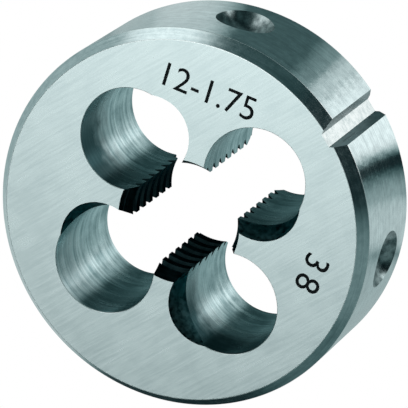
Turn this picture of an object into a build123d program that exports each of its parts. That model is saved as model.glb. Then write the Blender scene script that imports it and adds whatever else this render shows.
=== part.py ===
from build123d import *
import math
import os

# A closed round threading die for a metric coarse thread, ground from one blank.
# The origin is the centre of the back face and +Z is the thread axis. The face
# that starts the cut is at the top, and the adjusting groove is on the +Y side.

# Driving dimensions, in millimetres and degrees.

# Blank
THICKNESS = 14.0
RIM_CHAMFER_INSET = 0.93        # how far a rim chamfer reaches in over a face
RIM_CHAMFER_HEIGHT = 1.22       # how far it reaches along the rim

# Thread
THREAD_DIAMETER = 12.0
THREAD_PITCH = 1.75
THREAD_FLANK_ANGLE = 60.0
THREAD_RISE = 0.1               # height of the middle of a thread space on +X
CREST_CUT = 0.367               # how far the crests stop short of their full height
LEAD_MOUTH = 0.25               # how much further out the lead opens than the thread
LEAD_ANGLE = 25.0               # slope of the lead's wall against the axis

# Chip holes
CHIP_HOLES = 4
CHIP_HOLE_DIAMETER = 10.3
CHIP_HOLE_BITE = 1.37           # how far a chip hole cuts in over the bore
CHIP_HOLE_WALL = 4.65           # steel between a chip hole and the rim
CHIP_HOLE_BREAK = 0.5           # bevel of a chip hole's edge on the back face

# Spiral points, ground into the leading wall of each chip hole
POINT_UNDERSIZE = 0.89          # how much less radius the pin has than the chip hole
POINT_REACH = 0.65              # how far the pin cuts past the chip hole's wall
POINT_BEARING = -113.0          # side of the chip hole that it cuts
POINT_TILT = 24.0               # lean of the pin
POINT_TILT_BEARING = -88.0      # the way in which the top of the pin leans
POINT_DEPTH = 4.0               # how deep the end of the pin goes, along its axis

# Adjusting groove
GROOVE_FLOOR = 1.38
GROOVE_DEPTH = 1.35
GROOVE_ANGLE = 60.0

# Conical seats for the screws of the die stock
SEATS = 4
SEAT_MOUTH = 6.2
SEAT_ANGLE = 90.0
SEAT_DROP = 0.65                # how far they lie below the middle of the rim

# How far a cutter stands clear of what it cuts
THREAD_CUTTER_CLEARANCE = 0.25
CUTTER_CLEARANCE = 1.0

# Sizes that follow from the driving dimensions.
flank_slope = math.tan(math.radians(THREAD_FLANK_ANGLE / 2))
thread_radius = THREAD_DIAMETER / 2
thread_depth = THREAD_PITCH * (3 / 4 - 1 / 8) / (2 * flank_slope) - CREST_CUT
bore_radius = thread_radius - thread_depth
lead_radius = thread_radius + LEAD_MOUTH
lead_depth = (lead_radius - bore_radius) / math.tan(math.radians(LEAD_ANGLE))
chip_hole_radius = CHIP_HOLE_DIAMETER / 2
chip_circle_radius = bore_radius - CHIP_HOLE_BITE + chip_hole_radius
rim_radius = chip_circle_radius + chip_hole_radius + CHIP_HOLE_WALL
face_radius = rim_radius - RIM_CHAMFER_INSET
pin_radius = chip_hole_radius - POINT_UNDERSIZE
pin_offset = chip_hole_radius + POINT_REACH - pin_radius
groove_floor = rim_radius - GROOVE_DEPTH
groove_slope = math.tan(math.radians(GROOVE_ANGLE / 2))
seat_slope = math.tan(math.radians(SEAT_ANGLE / 2))
seat_height = THICKNESS / 2 - SEAT_DROP

# One turn of the space between two threads, an eighth of the pitch wide at its
# root. It starts and ends on +X, over a chip hole, so that no joint between two
# turns falls on a land.
space_foot = bore_radius - THREAD_CUTTER_CLEARANCE
space_root = THREAD_PITCH / 8
space_mouth = space_root + 2 * (thread_radius - space_foot) * flank_slope
first_turn = THREAD_RISE - 2 * THREAD_PITCH
turns = math.ceil(THICKNESS / THREAD_PITCH) + 3

with BuildPart() as thread_space:
    with BuildLine() as thread_path:
        Helix(
            pitch=THREAD_PITCH,
            height=THREAD_PITCH,
            radius=thread_radius,
            center=(0, 0, first_turn),
        )
    with BuildSketch(Plane.XZ) as thread_profile:
        with BuildLine():
            Polyline(
                (space_foot, first_turn - space_mouth / 2),
                (thread_radius, first_turn - space_root / 2),
                (thread_radius, first_turn + space_root / 2),
                (space_foot, first_turn + space_mouth / 2),
                close=True,
            )
        make_face()
    sweep(path=thread_path.line, is_frenet=True)

# The grinding pin of a spiral point, in the frame of its chip hole: +X points
# away from the thread axis and Z = 0 is the front face.
pin_axis = Vector(0, 0, 1).rotate(Axis.Y, POINT_TILT).rotate(Axis.Z, POINT_TILT_BEARING)
pin_centre = Vector(pin_offset, 0, 0).rotate(Axis.Z, POINT_BEARING)
pin_overhang = pin_radius * math.tan(math.radians(POINT_TILT)) + CUTTER_CLEARANCE

with BuildPart() as point_pin:
    with BuildSketch(Plane(origin=pin_centre - pin_axis * POINT_DEPTH, z_dir=pin_axis)):
        Circle(pin_radius)
    extrude(amount=POINT_DEPTH + pin_overhang)

# The countersink of a seat, with its point towards the thread axis and Z = 0
# where it meets the rim.
seat_radius = SEAT_MOUTH / 2
seat_depth = seat_radius / seat_slope

with BuildPart() as seat_drill:
    with BuildSketch(Plane.XZ):
        with BuildLine():
            Polyline(
                (0, -seat_depth),
                (seat_radius + CUTTER_CLEARANCE * seat_slope, CUTTER_CLEARANCE),
                (0, CUTTER_CLEARANCE),
                close=True,
            )
        make_face()
    revolve(axis=Axis.Z)

with BuildPart() as die_body:
    # Blank, turned with its rim chamfers, its bore and a lead at each mouth
    with BuildSketch(Plane.XZ) as half_section:
        with BuildLine():
            Polyline(
                (lead_radius, 0),
                (face_radius, 0),
                (rim_radius, RIM_CHAMFER_HEIGHT),
                (rim_radius, THICKNESS - RIM_CHAMFER_HEIGHT),
                (face_radius, THICKNESS),
                (lead_radius, THICKNESS),
                (bore_radius, THICKNESS - lead_depth),
                (bore_radius, lead_depth),
                close=True,
            )
        make_face()
    revolve(axis=Axis.Z)

    # Chip holes, one of them under the groove. What is left between them at
    # the bore are the lands that carry the thread.
    with PolarLocations(chip_circle_radius, CHIP_HOLES, start_angle=90):
        Hole(radius=chip_hole_radius, depth=2 * THICKNESS)

    # Thread
    with Locations(*[(0, 0, turn * THREAD_PITCH) for turn in range(turns)]):
        add(thread_space.part, mode=Mode.SUBTRACT)

    # Spiral points, which give each land its cutting edge at the front
    with Locations(Plane.XY.offset(THICKNESS)):
        with PolarLocations(chip_circle_radius, CHIP_HOLES, start_angle=90):
            add(point_pin.part, mode=Mode.SUBTRACT)

    # Bevel round each chip hole on the back face
    with Locations(Plane.XY.offset(CHIP_HOLE_BREAK / 2)):
        with PolarLocations(chip_circle_radius, CHIP_HOLES, start_angle=90):
            Cone(
                bottom_radius=chip_hole_radius + CHIP_HOLE_BREAK + CUTTER_CLEARANCE,
                top_radius=chip_hole_radius - CUTTER_CLEARANCE,
                height=CHIP_HOLE_BREAK + 2 * CUTTER_CLEARANCE,
                mode=Mode.SUBTRACT,
            )

    # Adjusting groove, from face to face
    with BuildSketch(Plane.XY) as groove_section:
        with BuildLine():
            floor_half = GROOVE_FLOOR / 2
            mouth_half = floor_half + (GROOVE_DEPTH + CUTTER_CLEARANCE) * groove_slope
            Polyline(
                (-floor_half, groove_floor),
                (floor_half, groove_floor),
                (mouth_half, rim_radius + CUTTER_CLEARANCE),
                (-mouth_half, rim_radius + CUTTER_CLEARANCE),
                close=True,
            )
        make_face()
    extrude(amount=THICKNESS, mode=Mode.SUBTRACT)

    # Seats, midway between the chip holes
    for seat in range(SEATS):
        outward = Vector(1, 0, 0).rotate(Axis.Z, 45 + 360 * seat / SEATS)
        mouth = outward * rim_radius + Vector(0, 0, seat_height)
        with Locations(Plane(origin=mouth, z_dir=outward)):
            add(seat_drill.part, mode=Mode.SUBTRACT)

die_body.part.label = "die_body"

os.makedirs("parts", exist_ok=True)
export_step(die_body.part, "parts/die_body.step")
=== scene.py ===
"""A round threading die, ground from one blank of tool steel, on a pale floor.

The die is modelled in millimetres around its own thread axis, with its back
face on the floor, the face that starts the cut at the top and the adjusting
groove towards +Y. It is then brought to metres.
"""

import logging
import math
from dataclasses import dataclass, field
from enum import Enum
from functools import reduce
from typing import Callable, Iterable, Optional, Sequence, Union

import bmesh
import bpy
from mathutils import Matrix, Vector

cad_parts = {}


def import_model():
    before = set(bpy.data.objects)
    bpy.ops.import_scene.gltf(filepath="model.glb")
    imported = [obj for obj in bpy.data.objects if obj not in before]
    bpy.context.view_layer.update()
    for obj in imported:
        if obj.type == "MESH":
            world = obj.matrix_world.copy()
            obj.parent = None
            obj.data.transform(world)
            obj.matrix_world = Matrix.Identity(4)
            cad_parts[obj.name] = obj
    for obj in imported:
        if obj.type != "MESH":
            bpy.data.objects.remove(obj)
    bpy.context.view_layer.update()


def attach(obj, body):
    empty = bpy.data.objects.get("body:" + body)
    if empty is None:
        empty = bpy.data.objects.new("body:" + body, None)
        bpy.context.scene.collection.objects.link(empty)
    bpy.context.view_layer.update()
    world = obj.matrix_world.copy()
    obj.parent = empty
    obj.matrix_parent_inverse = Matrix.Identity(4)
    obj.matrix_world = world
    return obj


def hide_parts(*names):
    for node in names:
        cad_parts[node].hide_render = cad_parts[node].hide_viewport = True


LOG = logging.getLogger("die")
MM = 0.001
WHITE = (1.0, 1.0, 1.0, 1.0)
BODY = "root"
CAD_NODE = "die_body"
QUARTER_TURN = math.radians(90)
ZENITH = 90.0  # the elevation straight up, in degrees
TINY = 1e-6  # keeps a length from being zero before something is divided by it
NOISE_MIDDLE = 0.5  # the mean height of a noise texture
NOISE_STRAY = 0.25  # how far it commonly strays from that

# Lengths in millimetres
CLEAR = 0.8  # how far a drill's flare reaches past the face that it starts from
OVERRUN = 1.0  # how far a pin, a wheel or a countersink stands out of the die
TOUCH = 1e-4  # how near two points are when they are the same
STROKE_TOUCH = 1e-3  # the same for the outline of a figure

Number = Union[float, "Value"]
Spot = tuple[float, float]
Point = tuple[float, float, float]
Colour = tuple[float, float, float]
Shade = Union[Sequence[float], bpy.types.NodeSocket]
Bearing = tuple["Value", "Value"]  # the x and y of a direction on the level


class Value:
    """One socket of a shader tree, with arithmetic that adds Math nodes."""

    def __init__(self, tree: bpy.types.NodeTree, socket: bpy.types.NodeSocket) -> None:
        """Wraps a socket.

        Args:
            tree: The node tree that holds the socket.
            socket: The output socket that carries the value.
        """
        self.tree = tree
        self.socket = socket

    def maths(self, operation: str, *others: Number, turned: bool = False) -> "Value":
        """Adds a Math node.

        Args:
            operation: The name of the node's operation.
            others: The operands after this one.
            turned: Whether they stand before it instead.

        Returns:
            The result.
        """
        node = self.tree.nodes.new("ShaderNodeMath")
        node.operation = operation
        operands = (*others, self) if turned else (self, *others)
        for socket, operand in zip(node.inputs, operands):
            plug(self.tree, socket, operand)
        return Value(self.tree, node.outputs[0])

    def __add__(self, other: Number) -> "Value":
        """Sum."""
        return self.maths("ADD", other)

    __radd__ = __add__

    def __sub__(self, other: Number) -> "Value":
        """Difference."""
        return self.maths("SUBTRACT", other)

    def __rsub__(self, other: float) -> "Value":
        """Difference from a number."""
        return self.maths("SUBTRACT", other, turned=True)

    def __mul__(self, other: Number) -> "Value":
        """Product."""
        return self.maths("MULTIPLY", other)

    __rmul__ = __mul__

    def __truediv__(self, other: Number) -> "Value":
        """Quotient."""
        return self.maths("DIVIDE", other)

    def __pow__(self, other: Number) -> "Value":
        """Power."""
        return self.maths("POWER", other)

    def rise(self, low: float, high: float) -> "Value":
        """A smooth step.

        Args:
            low: The value at which the step starts, where it is 0.
            high: The value at which it ends, where it is 1.

        Returns:
            The height of the step.
        """
        node = self.tree.nodes.new("ShaderNodeMapRange")
        node.interpolation_type = "SMOOTHSTEP"
        plug(self.tree, node.inputs["Value"], self)
        node.inputs["From Min"].default_value = low
        node.inputs["From Max"].default_value = high
        return Value(self.tree, node.outputs["Result"])


def plug(
    tree: bpy.types.NodeTree,
    target: bpy.types.NodeSocket,
    source: Union[Number, bpy.types.NodeSocket, Sequence[float]],
) -> None:
    """Feeds an input socket from a link or a constant.

    Args:
        tree: The node tree that holds the socket.
        target: The input socket.
        source: A value, a socket, a number or a list of numbers.
    """
    if isinstance(source, Value):
        tree.links.new(source.socket, target)
    elif isinstance(source, bpy.types.NodeSocket):
        tree.links.new(source, target)
    else:
        target.default_value = source


class Shading:
    """A node tree that is filled node by node."""

    def __init__(self, tree: bpy.types.NodeTree) -> None:
        """Starts with an empty tree.

        Args:
            tree: The node tree of a material or a world.
        """
        self.tree = tree
        tree.nodes.clear()

    def add(
        self,
        kind: str,
        settings: Optional[dict[str, object]] = None,
        inputs: Optional[dict[Union[str, int], object]] = None,
    ) -> bpy.types.Node:
        """Adds a node, with its settings first and its sockets after them.

        Args:
            kind: The node's type.
            settings: Attributes of the node, by name.
            inputs: Values or links of its sockets, by name or place.

        Returns:
            The node.
        """
        node = self.tree.nodes.new(kind)
        for name, setting in (settings or {}).items():
            setattr(node, name, setting)
        for name, source in (inputs or {}).items():
            plug(self.tree, node.inputs[name], source)
        return node

    def values(self, vector: bpy.types.NodeSocket) -> list[Value]:
        """The x, y and z of a vector as values for arithmetic."""
        parts = self.add("ShaderNodeSeparateXYZ", None, {0: vector})
        return [Value(self.tree, part) for part in parts.outputs]

    def object_place(self) -> bpy.types.NodeSocket:
        """Adds the place on the object's surface.

        Returns:
            The place, in millimetres.
        """
        place = self.add("ShaderNodeTexCoord").outputs["Object"]
        scaled = self.add(
            "ShaderNodeVectorMath", {"operation": "SCALE"}, {0: place, "Scale": 1 / MM}
        )
        return scaled.outputs[0]

    def mix(self, factor: Number, low: Shade, high: Shade) -> bpy.types.NodeSocket:
        """Mixes two colours.

        Args:
            factor: 0 gives the low colour and 1 the high one.
            low: The low colour, with its alpha, or a socket of it.
            high: The high colour likewise.

        Returns:
            The mixed colour.
        """
        node = self.add(
            "ShaderNodeMix", {"data_type": "RGBA"}, {0: factor, 6: low, 7: high}
        )
        return node.outputs[2]


class Lay(Enum):
    """The way in which the tool has left its marks on a surface.

    Each value is the number of marks in a millimetre along x, y and z.
    """

    ALONG_GROOVE = (3.6, 0.22, 1.0)
    ALONG_AXIS = (3.2, 3.2, 0.2)
    ROUND_AXIS = (0.22, 0.22, 6.0)
    DRILLED = (0.12, 0.12, 2.2)
    NONE = (2.0, 2.0, 2.0)


@dataclass(frozen=True)
class PaintedMouthShade:
    """Painted shade: a dark colour laid over a wall towards the front face, where the mouth
    of a hole is in shade.

    Attributes:
        colour: The reflectance of the painted shade.
        heights: The heights between which it grows, in millimetres.
        ragged: How far the mottle moves its edge, in millimetres.
        spans: The distances from the middle, along x, between which the painted shade
            darkens further.
        weakest_shade: The strength of the painted shade at the middle.
    """

    colour: Colour
    heights: Spot = (6.0, 11.5)
    ragged: float = 7.0
    spans: Spot = (3.0, 9.0)
    weakest_shade: float = 0.4

    def over(
        self,
        shade: Shading,
        colour: bpy.types.NodeSocket,
        place: bpy.types.NodeSocket,
        mottle: Value,
    ) -> bpy.types.NodeSocket:
        """Lays the painted shade over a colour.

        Args:
            shade: The material's tree.
            colour: The colour of the bare surface.
            place: The place on the surface, in millimetres.
            mottle: The height of the mottle.

        Returns:
            The colour with the painted shade on it.
        """
        across, _, height = shade.values(place)
        # Painted shade: darker towards the front face, and darkest in the two holes on the
        # x axis
        thick = across.maths("ABSOLUTE").rise(*self.spans) * (1 - self.weakest_shade)
        shade_rise = (height + (mottle - NOISE_MIDDLE) * self.ragged).rise(*self.heights)
        return shade.mix(shade_rise * (thick + self.weakest_shade), colour, (*self.colour, 1.0))


@dataclass(frozen=True)
class Finish:
    """How one kind of surface of the bare steel is finished.

    Attributes:
        name: The material's name.
        low: The darkest reflectance of the surface.
        high: The lightest reflectance of the surface.
        roughness: The mean roughness.
        swing: How far roughness varies with the tool marks and the mottle.
        marks: The depth of the tool marks, in millimetres.
        cloud: The number of patches of the mottle in a millimetre.
        grain: The depth of the fine grain, in millimetres.
        lay: The direction of the tool marks.
        waves: The depth of the mottle, in millimetres.
        grazing: How much of each colour it reflects at a low angle.
        mouth_shade: The painted shade that darkens it towards the front face.
        shares: The parts of the tool marks, the mottle and the grain in the colour.
        contrast: The sums of these at the darkest and the lightest colour.
        grains: The number of grains in a millimetre.
        smoothest: The least roughness.
    """

    name: str
    low: Colour
    high: Colour
    roughness: float
    swing: float
    marks: float
    cloud: float
    grain: float
    lay: Lay = Lay.NONE
    waves: float = 0.0
    grazing: Colour = (1.0, 1.0, 1.0)
    mouth_shade: Optional[PaintedMouthShade] = None
    shares: Point = (0.45, 0.4, 0.15)
    contrast: Spot = (0.3, 0.7)
    grains: float = 9.0
    smoothest: float = 0.06

    def material(self) -> bpy.types.Material:
        """Builds the material.

        Returns:
            The material, with its colour, roughness and bump from nodes.
        """
        made = bpy.data.materials.new(self.name)
        made.use_nodes = True
        shade = Shading(made.node_tree)
        place = shade.object_place()
        stretched = shade.add(
            "ShaderNodeVectorMath", {"operation": "MULTIPLY"}, {0: place, 1: self.lay.value}
        )
        marks = self.noise(shade, stretched.outputs[0], scale=1.0, detail=3.0)
        cloud = self.noise(shade, place, scale=self.cloud, detail=4.0)
        grain = self.noise(shade, place, scale=self.grains, detail=2.0)
        of_marks, of_cloud, of_grain = self.shares
        wear = marks * of_marks + cloud * of_cloud + grain * of_grain
        bare = wear.rise(*self.contrast)
        colour = shade.mix(bare, (*self.low, 1.0), (*self.high, 1.0))
        # Painted shade towards the front face, where the finish has it
        if self.mouth_shade:
            colour = self.mouth_shade.over(shade, colour, place, cloud)
        uneven = (marks + cloud) * 0.5 - NOISE_MIDDLE
        rough = uneven * (self.swing / NOISE_STRAY) + self.roughness
        relief = marks + cloud * (self.waves / self.marks)
        scored = self.bump(shade, relief, self.marks)
        grained = self.bump(shade, grain, self.grain, scored)
        steel = shade.add(
            "ShaderNodeBsdfPrincipled",
            None,
            {
                "Base Color": colour,
                "Metallic": 1.0,
                "Specular Tint": (*self.grazing, 1.0),
                "Roughness": rough.maths("MAXIMUM", self.smoothest),
                "Normal": grained,
            },
        )
        shade.add("ShaderNodeOutputMaterial", None, {"Surface": steel.outputs[0]})
        return made

    @staticmethod
    def noise(
        shade: Shading, place: bpy.types.NodeSocket, scale: float, detail: float
    ) -> Value:
        """Adds a noise texture.

        Args:
            shade: The material's tree.
            place: The coordinates, in millimetres.
            scale: The number of its cells in a millimetre.
            detail: The number of finer layers.

        Returns:
            The height of the noise.
        """
        node = shade.add(
            "ShaderNodeTexNoise", None, {"Vector": place, "Scale": scale, "Detail": detail}
        )
        return Value(shade.tree, node.outputs["Fac"])

    @staticmethod
    def bump(
        shade: Shading,
        height: Value,
        depth: float,
        under: Optional[bpy.types.NodeSocket] = None,
    ) -> bpy.types.NodeSocket:
        """Adds a Bump node.

        Args:
            shade: The material's tree.
            height: The height of the relief.
            depth: How deep it is, in millimetres.
            under: The normal that it is laid on, if not the mesh's.

        Returns:
            The normal.
        """
        inputs = {"Height": height, "Distance": depth * MM, "Strength": 1.0}
        if under:
            inputs["Normal"] = under
        return shade.add("ShaderNodeBump", None, inputs).outputs[0]


GROUND_FACE = Finish(
    name="ground_face",
    low=(0.46, 0.56, 0.565),
    high=(0.67, 0.79, 0.79),
    lay=Lay.ALONG_GROOVE,
    roughness=0.25,
    swing=0.05,
    marks=0.0012,
    cloud=0.35,
    grain=0.0004,
)
GROUND_RIM = Finish(
    name="ground_rim",
    low=(0.40, 0.50, 0.51),
    high=(0.72, 0.85, 0.855),
    lay=Lay.ROUND_AXIS,
    roughness=0.2,
    swing=0.07,
    marks=0.0008,
    cloud=1.1,
    grain=0.0014,
    waves=0.04,
)
TURNED_CHAMFER = Finish(
    name="turned_chamfer",
    low=(0.42, 0.53, 0.54),
    high=(0.69, 0.81, 0.815),
    lay=Lay.ROUND_AXIS,
    roughness=0.2,
    swing=0.06,
    marks=0.0015,
    cloud=1.6,
    grain=0.0012,
)
EDGE_BREAK = Finish(
    name="edge_break",
    low=(0.76, 0.84, 0.84),
    high=(0.86, 0.92, 0.92),
    roughness=0.3,
    swing=0.03,
    marks=0.0004,
    cloud=1.0,
    grain=0.0004,
)
DRILLED_WALL = Finish(
    name="drilled_wall",
    low=(0.15, 0.25, 0.26),
    high=(0.78, 0.93, 0.94),
    lay=Lay.DRILLED,
    roughness=0.24,
    swing=0.08,
    marks=0.045,
    cloud=0.6,
    grain=0.002,
    grazing=(0.72, 0.86, 0.87),
    # Painted shade in the mouths of the holes
    mouth_shade=PaintedMouthShade((0.014, 0.045, 0.05)),
)
# The spiral points are nearly black, and also dark at a low angle: painted shade
GROUND_POINT = Finish(
    name="ground_point",
    low=(0.001, 0.004, 0.005),
    high=(0.11, 0.2, 0.21),
    roughness=0.4,
    swing=0.08,
    marks=0.008,
    cloud=2.2,
    grain=0.006,
    grazing=(0.2, 0.38, 0.4),
)
# The thread is nearly black, and also dark at a low angle: painted shade in the bore
CUT_THREAD = Finish(
    name="cut_thread",
    low=(0.002, 0.006, 0.007),
    high=(0.018, 0.038, 0.042),
    lay=Lay.ROUND_AXIS,
    roughness=0.4,
    swing=0.08,
    marks=0.006,
    cloud=1.4,
    grain=0.003,
    grazing=(0.12, 0.3, 0.32),
)
GROOVE_FLOOR = Finish(
    name="groove_floor",
    low=(0.46, 0.54, 0.54),
    high=(0.90, 0.95, 0.94),
    roughness=0.27,
    swing=0.09,
    marks=0.004,
    cloud=1.4,
    grain=0.002,
)
# A darker copy of the groove's finish for its walls: painted shade
GROOVE_WALL = Finish(
    name="groove_wall",
    low=(0.10, 0.16, 0.17),
    high=(0.34, 0.45, 0.46),
    lay=Lay.ALONG_AXIS,
    roughness=0.3,
    swing=0.06,
    marks=0.003,
    cloud=0.9,
    grain=0.002,
)
DRILLED_SEAT = Finish(
    name="drilled_seat",
    low=(0.10, 0.14, 0.145),
    high=(0.44, 0.53, 0.53),
    roughness=0.2,
    swing=0.06,
    marks=0.003,
    cloud=1.4,
    grain=0.002,
)
ETCHED_NUMBER = Finish(
    name="etched_number",
    low=(0.006, 0.008, 0.009),
    high=(0.02, 0.024, 0.026),
    roughness=0.55,
    swing=0.05,
    marks=0.001,
    cloud=2.0,
    grain=0.001,
)


class Part(Enum):
    """A kind of part of a mesh, by the name of its select mode."""

    FACE = "FACE"
    EDGE = "EDGE"
    VERT = "VERT"


class Bench:
    """The hand tools that shape a mesh.

    Attributes:
        LEVEL: The least z of a unit normal on a level face.
    """

    LEVEL = 0.99

    @staticmethod
    def clear() -> None:
        """Leaves edit mode and deselects everything."""
        if bpy.context.object and bpy.context.object.mode != "OBJECT":
            bpy.ops.object.mode_set(mode="OBJECT")
        bpy.ops.object.select_all(action="DESELECT")

    @staticmethod
    def hold(thing: bpy.types.Object) -> None:
        """Makes an object the only selected and the active one.

        Args:
            thing: The object.
        """
        Bench.clear()
        thing.select_set(True)
        bpy.context.view_layer.objects.active = thing

    @staticmethod
    def settle(thing: bpy.types.Object) -> None:
        """Moves an object's place, turn and size into its mesh.

        Args:
            thing: The object.
        """
        Bench.hold(thing)
        bpy.ops.object.transform_apply(location=True, rotation=True, scale=True)

    @staticmethod
    def pick(
        thing: bpy.types.Object,
        part: Part,
        test: Callable[[object], bool] = lambda item: True,
    ) -> None:
        """Opens an object in edit mode with what passes a test selected.

        Args:
            thing: The object.
            part: The kind of part that is picked.
            test: Says of a bmesh face, edge or vertex whether it is selected.
        """
        Bench.hold(thing)
        bpy.ops.object.mode_set(mode="EDIT")
        bpy.ops.mesh.select_mode(type=part.value)
        bpy.ops.mesh.select_all(action="DESELECT")
        mesh = bmesh.from_edit_mesh(thing.data)
        parts = {Part.FACE: mesh.faces, Part.EDGE: mesh.edges, Part.VERT: mesh.verts}
        for item in parts[part]:
            if test(item):
                item.select_set(True)
        mesh.select_flush_mode()
        bmesh.update_edit_mesh(thing.data)

    @staticmethod
    def cylinder(
        name: str,
        radius: float,
        low: float,
        high: float,
        sides: int,
        centre: Spot = (0.0, 0.0),
    ) -> bpy.types.Object:
        """Adds an upright cylinder.

        Args:
            name: The object's name.
            radius: Its radius.
            low: The height of its lower end.
            high: The height of its upper end.
            sides: The number of its sides.
            centre: The place of its axis.

        Returns:
            The cylinder.
        """
        Bench.clear()
        bpy.ops.mesh.primitive_cylinder_add(
            vertices=sides,
            radius=radius,
            depth=high - low,
            end_fill_type="NGON",
            location=(*centre, (low + high) / 2),
        )
        return Bench.take(name)

    @staticmethod
    def take(name: str) -> bpy.types.Object:
        """Names the primitive that was just added and settles it.

        Args:
            name: The object's name.

        Returns:
            The object.
        """
        made = bpy.context.object
        made.name = name
        Bench.settle(made)
        return made

    @staticmethod
    def lengthen(
        thing: bpy.types.Object,
        upwards: bool,
        height: float,
        ratio: float,
        centre: Spot = (0.0, 0.0),
    ) -> None:
        """Extrudes an end of an upright turned piece and changes its width.

        Args:
            thing: The piece.
            upwards: Whether it is the upper end.
            height: How far the end moves out.
            ratio: The new radius as a share of the old one.
            centre: The place of the piece's axis.
        """
        sense = 1 if upwards else -1
        end = max(sense * corner.co.z for corner in thing.data.vertices)
        Bench.pick(
            thing,
            Part.FACE,
            lambda face: face.normal.z * sense > Bench.LEVEL
            and abs(face.calc_center_median().z * sense - end) < TOUCH,
        )
        bpy.ops.mesh.extrude_region_move(
            TRANSFORM_OT_translate={"value": (0, 0, sense * height)}
        )
        bpy.ops.transform.resize(
            value=(ratio, ratio, 1), center_override=(*centre, sense * end)
        )
        Bench.clear()

    @staticmethod
    def repeat(thing: bpy.types.Object, count: int) -> bpy.types.Object:
        """Copies a piece round the thread axis and joins the copies to it.

        Args:
            thing: The first piece.
            count: How many there are in all, evenly spaced.

        Returns:
            The joined pieces.
        """
        copies = []
        for place in range(1, count):
            copy = thing.copy()
            copy.data = thing.data.copy()
            copy.data.transform(Matrix.Rotation(place * math.tau / count, 4, "Z"))
            bpy.context.scene.collection.objects.link(copy)
            copies.append(copy)
        Bench.hold(thing)
        for copy in copies:
            copy.select_set(True)
        bpy.ops.object.join()
        return thing

    @staticmethod
    def apply(thing: bpy.types.Object, kind: str, settings: dict[str, object]) -> None:
        """Adds a modifier and applies it.

        Args:
            thing: The object.
            kind: The modifier's type.
            settings: Its attributes, by name.
        """
        Bench.hold(thing)
        modifier = thing.modifiers.new(kind.lower(), kind)
        for name, setting in settings.items():
            setattr(modifier, name, setting)
        bpy.ops.object.modifier_apply(modifier=modifier.name)

    @staticmethod
    def cut(
        thing: bpy.types.Object, cutter: bpy.types.Object, finish: bpy.types.Material
    ) -> None:
        """Cuts a shape out of a piece and finishes the surface that is left.

        Args:
            thing: The piece.
            cutter: The shape, which is used up.
            finish: The material of the cut surface.
        """
        cutter.data.materials.clear()
        cutter.data.materials.append(finish)
        for face in cutter.data.polygons:
            face.material_index = 0
        Bench.apply(
            thing,
            "BOOLEAN",
            {
                "operation": "DIFFERENCE",
                "solver": "EXACT",
                "object": cutter,
                "material_mode": "TRANSFER",
            },
        )
        spent = cutter.data
        bpy.data.objects.remove(cutter)
        bpy.data.meshes.remove(spent)

    @staticmethod
    def refinish(
        thing: bpy.types.Object,
        had: bpy.types.Material,
        given: bpy.types.Material,
        test: Callable[[bpy.types.MeshPolygon], bool],
    ) -> None:
        """Gives some faces of one finish another one.

        Args:
            thing: The piece.
            had: The material that they have.
            given: The material that they get.
            test: Says of a face of the mesh whether it is one of them.
        """
        slots = thing.data.materials
        if given.name not in slots:
            slots.append(given)
        old, new = slots.find(had.name), slots.find(given.name)
        for face in thing.data.polygons:
            if face.material_index == old and test(face):
                face.material_index = new


@dataclass
class Blank:
    """The turned and ground disc that everything is cut from.

    Attributes:
        radius: The radius of the rim.
        thickness: The distance between the faces.
        chamfer_inset: How far a rim chamfer reaches in over a face.
        chamfer_height: How far it reaches along the rim.
        edge: The width of the broken edges.
        sides: The number of sides of its mesh.
        face_z: The least z of a unit normal on a face.
        chamfer_z: The least z of a unit normal on a chamfer.
        sharp: The least angle of an edge that is broken.
    """

    radius: float = 19.0
    thickness: float = 14.0
    chamfer_inset: float = 0.93
    chamfer_height: float = 1.22
    edge: float = 0.05
    sides: int = 240
    face_z: float = 0.9
    chamfer_z: float = 0.1
    sharp: float = math.radians(20)

    def build(self, edge_break: bpy.types.Material) -> bpy.types.Object:
        """Builds the disc, with both rim chamfers and its edges broken.

        Args:
            edge_break: The material of the broken edges.

        Returns:
            The disc, with a material for each kind of surface.
        """
        disc = Bench.cylinder(
            "round_die",
            self.radius,
            self.chamfer_height,
            self.thickness - self.chamfer_height,
            self.sides,
        )
        ratio = (self.radius - self.chamfer_inset) / self.radius
        for upwards in (True, False):
            Bench.lengthen(disc, upwards, self.chamfer_height, ratio)
        for finish in (GROUND_FACE, TURNED_CHAMFER, GROUND_RIM):
            disc.data.materials.append(finish.material())
        for face in disc.data.polygons:
            lift = abs(face.normal.z)
            face.material_index = (lift < self.face_z) + (lift < self.chamfer_z)
        disc.data.materials.append(edge_break)
        Bench.pick(disc, Part.EDGE, self.is_sharp)
        bpy.ops.mesh.bevel(
            offset=self.edge,
            offset_type="OFFSET",
            segments=2,
            profile=0.5,
            affect="EDGES",
            material=disc.data.materials.find(edge_break.name),
        )
        Bench.clear()
        return disc

    def is_sharp(self, edge: bmesh.types.BMEdge) -> bool:
        """Whether an edge runs round the disc between two kinds of surface."""
        low, high = (corner.co.z for corner in edge.verts)
        return abs(low - high) < TOUCH and edge.calc_face_angle(0.0) > self.sharp


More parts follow.
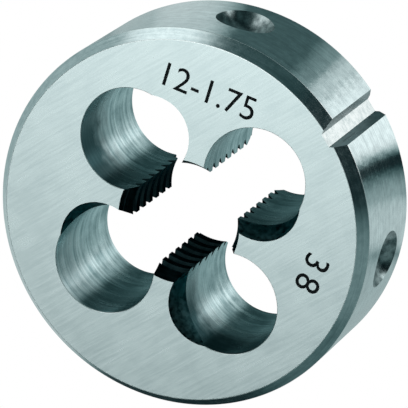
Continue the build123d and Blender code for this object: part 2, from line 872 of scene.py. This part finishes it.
@dataclass
class ChipHoles:
    """The round holes that let the chips out, and their ground points.

    Attributes:
        count: The number of holes.
        radius: The radius of a hole.
        circle: The radius of the circle that their axes lie on.
        back_bevel: The bevel of their edges on the back face.
        edge: The broken edge on the front face.
        sides: The number of sides of a hole's mesh.
        pin_radius: The radius of the pin that grinds a point.
        pin_shift: The place of the pin at the front face, from the hole's axis.
        pin_tilt: The lean of the pin.
        pin_bearing: The way in which the top of the pin leans.
        pin_depth: How deep the pin's end goes, along its axis.
    """

    count: int = 4
    radius: float = 5.15
    circle: float = 9.2
    back_bevel: float = 0.5
    edge: float = 0.05
    sides: int = 128
    pin_radius: float = 4.26
    pin_shift: Spot = (-0.6017, -1.4176)
    pin_tilt: float = math.radians(24)
    pin_bearing: float = math.radians(-88)
    pin_depth: float = 4.0

    def holes(self, thickness: float) -> bpy.types.Object:
        """Builds the drill shapes of the holes.

        Args:
            thickness: The thickness of the die.

        Returns:
            The shapes, joined.
        """
        centre = (self.circle, 0.0)
        drill = Bench.cylinder(
            "drill", self.radius, self.back_bevel, thickness - self.edge, self.sides, centre
        )
        for upwards, bevel in ((True, self.edge), (False, self.back_bevel)):
            flare = bevel + CLEAR
            Bench.lengthen(drill, upwards, flare, 1 + flare / self.radius, centre)
        return Bench.repeat(drill, self.count)

    def points(self, thickness: float) -> bpy.types.Object:
        """Builds the pins that grind the spiral points.

        Args:
            thickness: The thickness of the die.

        Returns:
            The pins, joined.
        """
        reach = OVERRUN + self.pin_radius * math.tan(self.pin_tilt)
        pin = Bench.cylinder("pin", self.pin_radius, -self.pin_depth, reach, self.sides)
        across, along = self.pin_shift
        pin.data.transform(
            Matrix.Translation((self.circle + across, along, thickness))
            @ Matrix.Rotation(self.pin_bearing, 4, "Z")
            @ Matrix.Rotation(self.pin_tilt, 4, "Y")
        )
        return Bench.repeat(pin, self.count)


@dataclass
class Thread:
    """The cutting thread and the bore that it is cut in.

    Attributes:
        radius: The radius at the roots.
        crest: The radius at the crests, which is the bore's.
        pitch: The distance from one thread to the next.
        slope: The tangent of half the flank angle.
        root_flat: The width of the flat at the roots, as a share of the pitch.
        rise: The height of the middle of a thread space on +X.
        lead_mouth: How much further out a lead opens than the thread.
        lead_slope: The tangent of the lead's slope.
        clearance: How far the cutter stands clear of the bore.
        steps: The number of steps in a turn.
        run_in: The number of turns below the die.
        run_out: The number of turns above it.
    """

    radius: float = 6.0
    crest: float = 5.42
    pitch: float = 1.75
    slope: float = math.tan(math.radians(30))
    root_flat: float = 1 / 8
    rise: float = 0.1
    lead_mouth: float = 0.25
    lead_slope: float = math.tan(math.radians(25))
    clearance: float = 0.25
    steps: int = 120
    run_in: int = 2
    run_out: int = 1

    def bore(self, thickness: float) -> bpy.types.Object:
        """Builds the shape of the bore, with a lead at each mouth.

        Args:
            thickness: The thickness of the die.

        Returns:
            The shape.
        """
        opening = self.radius + self.lead_mouth - self.crest
        depth = opening / self.lead_slope
        borer = Bench.cylinder("borer", self.crest, depth, thickness - depth, self.steps)
        flare = depth + CLEAR
        for upwards in (True, False):
            Bench.lengthen(borer, upwards, flare, 1 + flare * self.lead_slope / self.crest)
        return borer

    def space(self, thickness: float) -> bpy.types.Object:
        """Builds the helical space between the threads.

        Args:
            thickness: The thickness of the die.

        Returns:
            The space, closed at both ends.
        """
        foot = self.crest - self.clearance
        root_half = self.pitch * self.root_flat / 2
        mouth_half = root_half + (self.radius - foot) * self.slope
        first = self.rise - self.run_in * self.pitch
        Bench.clear()
        bpy.ops.mesh.primitive_plane_add(size=1, rotation=(QUARTER_TURN, 0, 0))
        chaser = Bench.take("chaser")
        for corner in chaser.data.vertices:
            outer = corner.co.x > 0
            half = root_half if outer else mouth_half
            corner.co = (
                self.radius if outer else foot,
                0.0,
                first + math.copysign(half, corner.co.z),
            )
        Bench.pick(chaser, Part.FACE)
        bpy.ops.mesh.delete(type="ONLY_FACE")
        turns = math.ceil(thickness / self.pitch) + self.run_in + self.run_out
        Bench.apply(
            chaser,
            "SCREW",
            {
                "axis": "Z",
                "angle": math.tau,
                "screw_offset": self.pitch,
                "iterations": turns,
                "steps": self.steps,
                "render_steps": self.steps,
                "use_merge_vertices": False,
            },
        )
        Bench.pick(chaser, Part.EDGE)
        bpy.ops.mesh.fill_holes(sides=4)  # both ends, which have four sides
        bpy.ops.mesh.select_all(action="SELECT")
        bpy.ops.mesh.normals_make_consistent(inside=False)
        Bench.clear()
        return chaser


@dataclass
class AdjustingGroove:
    """The groove in the rim, where the die may be split.

    Attributes:
        floor: The width of the floor.
        depth: The depth below the rim.
        slope: The tangent of half the groove's angle.
    """

    floor: float = 1.38
    depth: float = 1.35
    slope: float = math.tan(math.radians(30))

    def wheel(self, blank: Blank) -> bpy.types.Object:
        """Builds the shape that the grinding wheel takes out.

        Args:
            blank: The disc that it is ground in.

        Returns:
            The shape.
        """
        bottom, top = blank.radius - self.depth, blank.radius + OVERRUN
        mouth = self.floor + 2 * (top - bottom) * self.slope
        Bench.clear()
        bpy.ops.mesh.primitive_cube_add(
            size=1,
            location=(0, (bottom + top) / 2, blank.thickness / 2),
            scale=(self.floor, top - bottom, blank.thickness + 2 * OVERRUN),
        )
        wheel = Bench.take("wheel")
        Bench.pick(wheel, Part.VERT, lambda corner: corner.co.y > top - TOUCH)
        bpy.ops.transform.resize(
            value=(mouth / self.floor, 1, 1), center_override=(0, top, 0)
        )
        Bench.clear()
        return wheel


@dataclass
class ScrewSeats:
    """The conical seats on the rim for the screws of a die stock.

    Attributes:
        count: The number of seats.
        bearing: The place of the first one, round the axis.
        mouth: The radius of a seat at the rim.
        height: The height of its axis.
        sides: The number of sides of its mesh.
    """

    count: int = 4
    bearing: float = math.radians(45)
    mouth: float = 3.1
    height: float = 6.35
    sides: int = 96

    def drills(self, rim: float) -> bpy.types.Object:
        """Builds the countersinks.

        Args:
            rim: The radius of the rim.

        Returns:
            The countersinks, joined.
        """
        Bench.clear()
        bpy.ops.mesh.primitive_cone_add(
            vertices=self.sides,
            radius1=0.0,
            radius2=self.mouth + OVERRUN,
            depth=self.mouth + OVERRUN,
            location=(0, 0, (OVERRUN - self.mouth) / 2),
        )
        drill = Bench.take("countersink")
        drill.data.transform(
            Matrix.Rotation(self.bearing, 4, "Z")
            @ Matrix.Translation((rim, 0, self.height))
            @ Matrix.Rotation(QUARTER_TURN, 4, "Y")
        )
        return Bench.repeat(drill, self.count)


@dataclass(frozen=True)
class SizeNumber:
    """A plain size number, etched in a face.

    Attributes:
        text: The number.
        centre: The middle of it on the face.
        bearing: The direction in which it reads.
        height: The height of its figures.
        spacing: The space between its figures, as a share of the usual one.
        figure_share: The height of a figure as a share of the letter size.
    """

    text: str
    centre: Spot
    bearing: float
    height: float
    spacing: float = 1.0
    figure_share: float = 0.729

    def stamp(self, face: float, depth: float) -> bpy.types.Object:
        """Builds the shape that the etching takes out.

        Args:
            face: The height of the face.
            depth: How deep it goes.

        Returns:
            The shape.
        """
        Bench.clear()
        bpy.ops.object.text_add()
        stamp = bpy.context.object
        stamp.name = "stamp"
        stamp.data.body = self.text
        stamp.data.size = self.height / self.figure_share
        stamp.data.align_x = "CENTER"
        stamp.data.align_y = "CENTER"
        stamp.data.space_character = self.spacing
        stamp.data.extrude = depth
        Bench.hold(stamp)
        bpy.ops.object.convert(target="MESH")
        stamp = bpy.context.object
        stamp.data.transform(
            Matrix.Translation((*self.centre, face)) @ Matrix.Rotation(self.bearing, 4, "Z")
        )
        Bench.pick(stamp, Part.VERT)
        bpy.ops.mesh.remove_doubles(threshold=STROKE_TOUCH)
        bpy.ops.mesh.normals_make_consistent(inside=False)
        Bench.clear()
        return stamp


@dataclass
class RoundDie:
    """The whole die.

    Attributes:
        blank: The disc.
        chip_holes: The chip holes and spiral points.
        thread: The bore and its thread.
        groove: The adjusting groove.
        seats: The screw seats.
        numbers: The numbers on the front face.
        etch_depth: How deep they are etched.
        wall_x: The least x of a unit normal on a wall of the groove.
        edge_z: The least z of a unit normal on a hole's broken edge.
        smooth: The greatest angle between faces of one smooth surface.
        even: How much the larger faces lead the shading of a corner.
    """

    blank: Blank = field(default_factory=Blank)
    chip_holes: ChipHoles = field(default_factory=ChipHoles)
    thread: Thread = field(default_factory=Thread)
    groove: AdjustingGroove = field(default_factory=AdjustingGroove)
    seats: ScrewSeats = field(default_factory=ScrewSeats)
    numbers: tuple[SizeNumber, ...] = (
        SizeNumber("12-1.75", (-9.5, 9.6), math.radians(40), 2.5),
        SizeNumber("38", (10.4, 9.4), math.radians(-56), 2.6, 1.3),
    )
    etch_depth: float = 0.03
    wall_x: float = 0.5
    edge_z: float = 0.3
    smooth: float = math.radians(26)
    even: int = 80

    def build(self) -> bpy.types.Object:
        """Builds the die, in metres.

        Returns:
            The finished piece.
        """
        thick = self.blank.thickness
        finishes = (EDGE_BREAK, DRILLED_WALL, CUT_THREAD, GROOVE_FLOOR, ETCHED_NUMBER)
        edge, wall, thread, floor, etched = (finish.material() for finish in finishes)
        die = self.blank.build(edge)
        cuts = [
            (self.chip_holes.holes(thick), wall),
            (self.thread.bore(thick), thread),
            (self.thread.space(thick), thread),
            # The points' near-black finish is painted shade
            (self.chip_holes.points(thick), GROUND_POINT.material()),
            (self.groove.wheel(self.blank), floor),
            (self.seats.drills(self.blank.radius), DRILLED_SEAT.material()),
        ]
        cuts += [(number.stamp(thick, self.etch_depth), etched) for number in self.numbers]
        for cutter, finish in cuts:
            Bench.cut(die, cutter, finish)
            LOG.info("cut %s: %d faces", finish.name, len(die.data.polygons))
        # The groove's walls get the darker copy of its finish: painted shade
        side = GROOVE_WALL.material()
        Bench.refinish(die, floor, side, lambda face: abs(face.normal.x) > self.wall_x)
        Bench.refinish(die, wall, edge, lambda face: face.normal.z > self.edge_z)
        self.finish(die)
        return die

    def finish(self, die: bpy.types.Object) -> None:
        """Cleans the mesh, smooths its curved surfaces and brings it to metres.

        Args:
            die: The piece.
        """
        Bench.pick(die, Part.VERT)
        bpy.ops.mesh.remove_doubles(threshold=TOUCH)
        bpy.ops.mesh.delete_loose()
        Bench.hold(die)
        bpy.ops.object.shade_smooth_by_angle(angle=self.smooth)
        Bench.apply(
            die,
            "WEIGHTED_NORMAL",
            {"mode": "FACE_AREA", "keep_sharp": True, "weight": self.even},
        )
        die.data.transform(Matrix.Scale(MM, 4))
        die.data.update()


@dataclass(frozen=True)
class Patch:
    """A soft sector of light round the die.

    Attributes:
        azimuth: The middle of the sector, in degrees from +X towards +Y.
        half_width: Half its width, in degrees.
        light: How bright it is.
        soft: How wide its side edges fade, in degrees.
    """

    azimuth: float
    half_width: float
    light: float
    soft: float = 8.0


@dataclass(frozen=True)
class Card(Patch):
    """A soft reflector card far round the die.

    Attributes:
        low: The elevation of its lower edge, in degrees.
        high: The elevation of its upper edge, in degrees.
        fade: How wide its upper and lower edges fade, in degrees.
    """

    low: float = -ZENITH
    high: float = ZENITH
    fade: float = 6.0


@dataclass
class Studio:
    """The floor, the light round the die and the camera.

    Attributes:
        dim: The colour of the unlit studio.
        cool: How fast a card loses its red as it dims.
        cards: The reflector cards.
        patches: The cards on the floor beside the die.
        window: The sector in which the floor has no card.
        inner_edge: The radii between which they start, in millimetres.
        outer_edge: The radii between which they fade out, in millimetres.
        card_sheet: The side and the height of their sheet, in millimetres.
        floor_sheet: The side and the height of the floor, in millimetres.
        eye: The camera's place, in millimetres.
        aim: The point that it looks at.
        up: The direction that is up in its view.
        lens: The focal length, in millimetres.
        sensor: The width of the sensor, in millimetres.
        sight: The nearest and the farthest that it sees, in metres.
    """

    dim: Colour = (0.011, 0.024, 0.027)
    cool: float = 0.22
    cards: tuple[Card, ...] = (
        # Below the horizon: what the walls of the chip holes reflect
        Card(350, 80, 0.50, 15, -90, -48),
        Card(92, 36, 0.74, 14, -90, -48),
        Card(87, 13, 1.25, 12, -90, -48),
        Card(190, 60, 0.07, 14, -90, -48),
        Card(240, 42, 0.14, 22, -90, -48),
        # Round the horizon: what the front chamfer reflects
        Card(173, 16, 1.30, 8, -14, 16),
        Card(226, 42, 0.50, 10, -44, 4, 8),
        Card(269, 15, 0.66, 5, -50, -33, 4),
        Card(26, 20, 0.27, 10, -14, 14, 8),
        Card(352, 20, 0.13, 12, -26, 14, 8),
        Card(134, 22, 0.07, 10, -10, 16, 8),
        # Beside and above that: what the seats and the broken edges reflect
        Card(87, 14, 2.40, 6, -34, -6, 6),
        Card(168, 20, 0.75, 8, 10, 28, 5),
        # Overhead: what the front face reflects
        Card(225, 58, 2.30, 16, 62, 100, 7),
        Card(97, 120, 0.50, 30, 30, 100, 12),
        # Away from all of these: what the die reflects from its other sides
        Card(277, 66, 0.42, 20, -6, 32, 8),
        Card(97, 120, 0.40, 20, -41, -25, 6),
    )
    patches: tuple[Patch, ...] = (
        Patch(20, 20, 0.48, 6),
        Patch(51, 8, 0.66, 6),
        Patch(57, 7, 0.42, 6),
        Patch(87, 11.5, 1.20, 3.5),
        Patch(104, 10, 0.30, 6),
        Patch(128, 22, 0.10, 8),
        Patch(160, 10, 0.68, 12),
        Patch(176, 12, 0.52, 6),
        Patch(265, 80, 0.50, 15),
    )
    window: Patch = Patch(98, 9, 1.0, 2)
    inner_edge: Spot = (18.9, 19.2)
    outer_edge: Spot = (26.5, 29.0)
    card_sheet: Spot = (80.0, -0.01)
    floor_sheet: Spot = (3000.0, -0.02)
    eye: Point = (-21.7509, 166.3359, 347.6824)
    aim: Point = (0.1432, -0.1, 7.0)
    up: Point = (-0.860636, 0.433541, -0.26711)
    lens: float = 341.56
    sensor: float = 36.0
    sight: Spot = (0.01, 20.0)

    def light(self) -> None:
        """Lights the die by soft cards, before a plain white backdrop."""
        world = bpy.data.worlds.new("studio")
        bpy.context.scene.world = world
        world.use_nodes = True
        shade = Shading(world.node_tree)
        direction = shade.add("ShaderNodeTexCoord").outputs["Generated"]
        bearing, _, height = self.split(shade, direction)
        lit = self.brightest(self.card(bearing, height, card) for card in self.cards)
        studio = shade.add("ShaderNodeBackground", None, {"Color": self.tinted(shade, lit)})
        backdrop = shade.add("ShaderNodeBackground", None, {"Color": WHITE})
        seen = shade.add("ShaderNodeLightPath").outputs["Is Camera Ray"]
        both = shade.add(
            "ShaderNodeMixShader",
            None,
            {0: seen, 1: studio.outputs[0], 2: backdrop.outputs[0]},
        )
        shade.add("ShaderNodeOutputWorld", None, {"Surface": both.outputs[0]})

    @staticmethod
    def split(shade: Shading, vector: bpy.types.NodeSocket) -> tuple[Bearing, Value, Value]:
        """Splits a place or a direction as it is seen from the die's axis.

        Args:
            shade: The tree that it is for.
            vector: The place or direction.

        Returns:
            Its bearing, its distance from the axis and its height.
        """
        east, north, height = shade.values(vector)
        reach = (east * east + north * north + TINY) ** 0.5
        return (east / reach, north / reach), reach, height

    @staticmethod
    def brightest(lights: Iterable[Value]) -> Value:
        """The brightest of several lights that may overlap."""
        return reduce(lambda one, other: one.maths("MAXIMUM", other), lights)

    @staticmethod
    def card(bearing: Bearing, height: Value, card: Card) -> Value:
        """The light of one card in a direction.

        Args:
            bearing: The bearing of the direction.
            height: The sine of its elevation.
            card: The card.

        Returns:
            The light.
        """
        lit = Studio.sector(bearing, card) * card.light
        for edge, sense in ((card.low, 1), (card.high, -1)):
            if abs(edge) < ZENITH:
                start = math.sin(math.radians(max(edge - card.fade, -ZENITH)))
                end = math.sin(math.radians(min(edge + card.fade, ZENITH)))
                step = height.rise(start, end)
                lit = lit * (step if sense > 0 else 1 - step)
        return lit

    @staticmethod
    def sheet(
        name: str, paint: str, side: float, height: float
    ) -> tuple[bpy.types.Object, Shading]:
        """Lays a level sheet, with an empty material.

        Args:
            name: The name of the sheet.
            paint: The name of its material.
            side: The length of its sides, in millimetres.
            height: Its height, in millimetres.

        Returns:
            The sheet, and the tree of its material.
        """
        Bench.clear()
        bpy.ops.mesh.primitive_grid_add(
            x_subdivisions=4,
            y_subdivisions=4,
            size=side * MM,
            location=(0, 0, height * MM),
        )
        sheet = Bench.take(name)
        sheet.visible_diffuse = False
        material = bpy.data.materials.new(paint)
        material.use_nodes = True
        sheet.data.materials.append(material)
        return sheet, Shading(material.node_tree)

    def floor(self) -> bpy.types.Object:
        """Lays the pale floor under the die.

        Returns:
            The floor.
        """
        floor, shade = self.sheet("floor", "pale_floor", *self.floor_sheet)
        glow = shade.add("ShaderNodeEmission", None, {"Color": WHITE})
        shade.add("ShaderNodeOutputMaterial", None, {"Surface": glow.outputs[0]})
        floor.visible_glossy = False
        return floor

    def side_cards(self) -> bpy.types.Object:
        """Lays soft cards on the floor round the die that only its reflections see.

        Returns:
            The sheet that carries the cards, clear under the die itself.
        """
        sheet, shade = self.sheet("side_cards", "card_paper", *self.card_sheet)
        bearing, reach, _ = self.split(shade, shade.object_place())
        lit = self.brightest(
            self.sector(bearing, patch) * patch.light for patch in self.patches
        )
        glow = shade.add("ShaderNodeEmission", None, {"Color": self.tinted(shade, lit)})
        clear = shade.add("ShaderNodeBsdfTransparent")
        beside = reach.rise(*self.inner_edge) * (1 - reach.rise(*self.outer_edge))
        beside = beside * (1 - self.sector(bearing, self.window))
        both = shade.add(
            "ShaderNodeMixShader",
            None,
            {0: beside, 1: clear.outputs[0], 2: glow.outputs[0]},
        )
        shade.add("ShaderNodeOutputMaterial", None, {"Surface": both.outputs[0]})
        sheet.visible_camera = False
        sheet.visible_shadow = False
        return sheet

    def tinted(self, shade: Shading, light: Value) -> bpy.types.NodeSocket:
        """The colour of a card's light over that of the unlit studio.

        Args:
            shade: The tree that it is for.
            light: How bright the card is.

        Returns:
            The colour.
        """
        warm = light * (light**self.cool).maths("MINIMUM", 1.0)
        glow = shade.add("ShaderNodeCombineXYZ", None, {0: warm, 1: light, 2: light})
        lifted = shade.add(
            "ShaderNodeVectorMath", {"operation": "ADD"}, {0: glow.outputs[0], 1: self.dim}
        )
        return lifted.outputs[0]

    @staticmethod
    def sector(bearing: Bearing, patch: Patch) -> Value:
        """How far a bearing lies in a soft-edged sector.

        Args:
            bearing: The bearing.
            patch: The sector.

        Returns:
            1 inside the sector and 0 outside.
        """
        east, north = bearing
        middle = math.radians(patch.azimuth)
        facing = east * math.cos(middle) + north * math.sin(middle)
        outer = math.cos(math.radians(min(patch.half_width + patch.soft, 180)))
        inner = math.cos(math.radians(max(patch.half_width - patch.soft, 0)))
        return facing.rise(outer, inner)

    def camera(self) -> bpy.types.Object:
        """Sets up the camera.

        Returns:
            The camera.
        """
        lens = bpy.data.cameras.new("camera")
        lens.sensor_width = self.sensor
        lens.lens = self.lens
        lens.clip_start, lens.clip_end = self.sight
        camera = bpy.data.objects.new("camera", lens)
        bpy.context.scene.collection.objects.link(camera)
        eye = Vector(self.eye)
        back = (eye - Vector(self.aim)).normalized()
        right = Vector(self.up).cross(back).normalized()
        above = back.cross(right)
        turn = Matrix((right, above, back)).transposed().to_4x4()
        camera.matrix_world = Matrix.Translation(eye * MM) @ turn
        bpy.context.scene.camera = camera
        bpy.context.scene.view_settings.view_transform = "Standard"
        return camera


def main() -> None:
    """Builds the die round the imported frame, and the studio round the die."""
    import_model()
    die = RoundDie().build()
    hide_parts(CAD_NODE)
    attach(die, BODY)
    studio = Studio()
    for piece in (die, studio.floor(), studio.side_cards()):
        LOG.info("%s: %d faces", piece.name, len(piece.data.polygons))
    studio.light()
    LOG.info("%s: %g mm lens", studio.camera().name, studio.lens)


if __name__ == "__main__":
    logging.basicConfig(level=logging.INFO, format="%(name)s: %(message)s")
    main()
